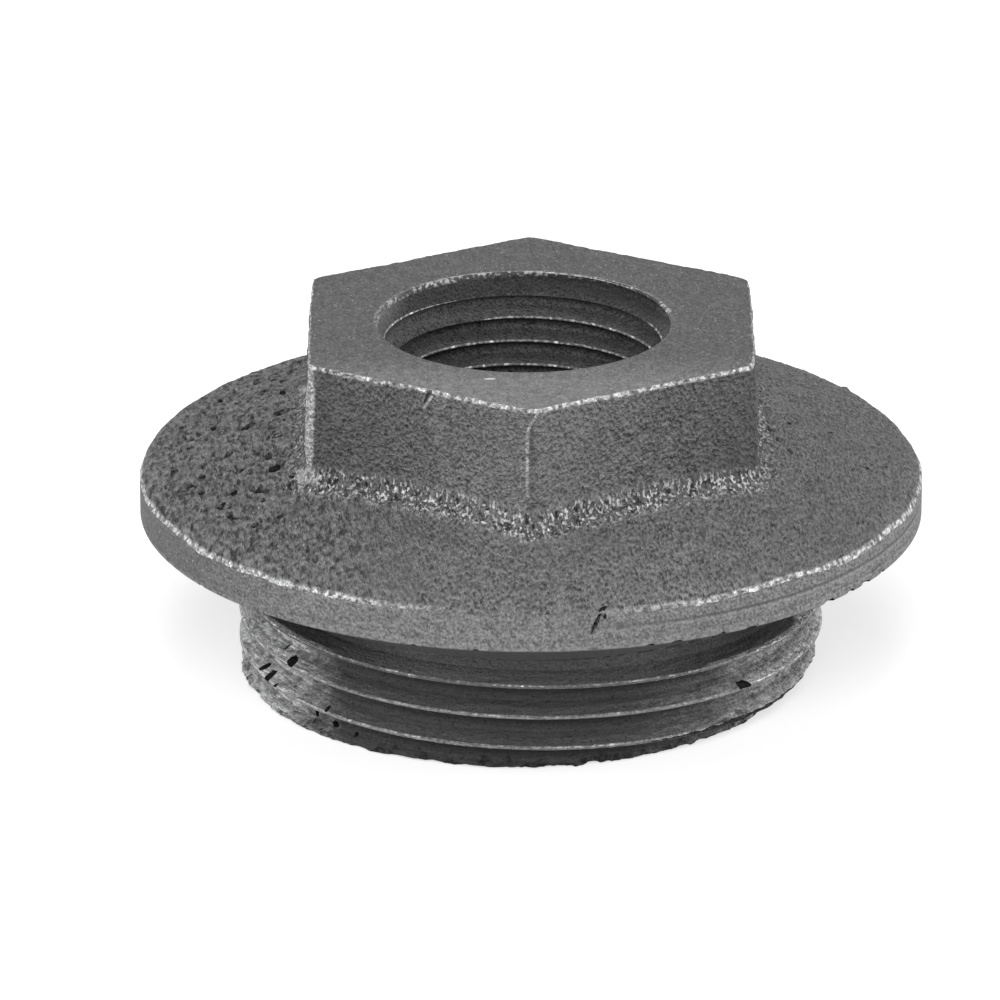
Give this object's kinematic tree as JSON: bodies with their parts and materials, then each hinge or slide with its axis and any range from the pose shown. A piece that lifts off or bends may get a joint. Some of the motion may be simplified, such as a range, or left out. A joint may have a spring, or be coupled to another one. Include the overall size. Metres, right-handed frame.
{
  "type": "radiator plug",
  "caption": "Cast iron radiator plug with a round flange, a threaded spigot, a hexagon boss and a threaded through bore.",
  "frame": {"origin": "centre of the spigot's end face, on the thread axis; the plug stands on this face", "axes": "+Z along the thread axis, out of the hexagon boss; -Y through the hexagon corner that faces the picture's camera"},
  "size_m": [0.056, 0.056, 0.026],
  "materials": {
    "cast_iron": "raw sand-cast grey iron, with turned threads, rim and top face"
  },
  "bodies": {
    "root": {"plug_body": "cast_iron"}
  },
  "joints": []
}
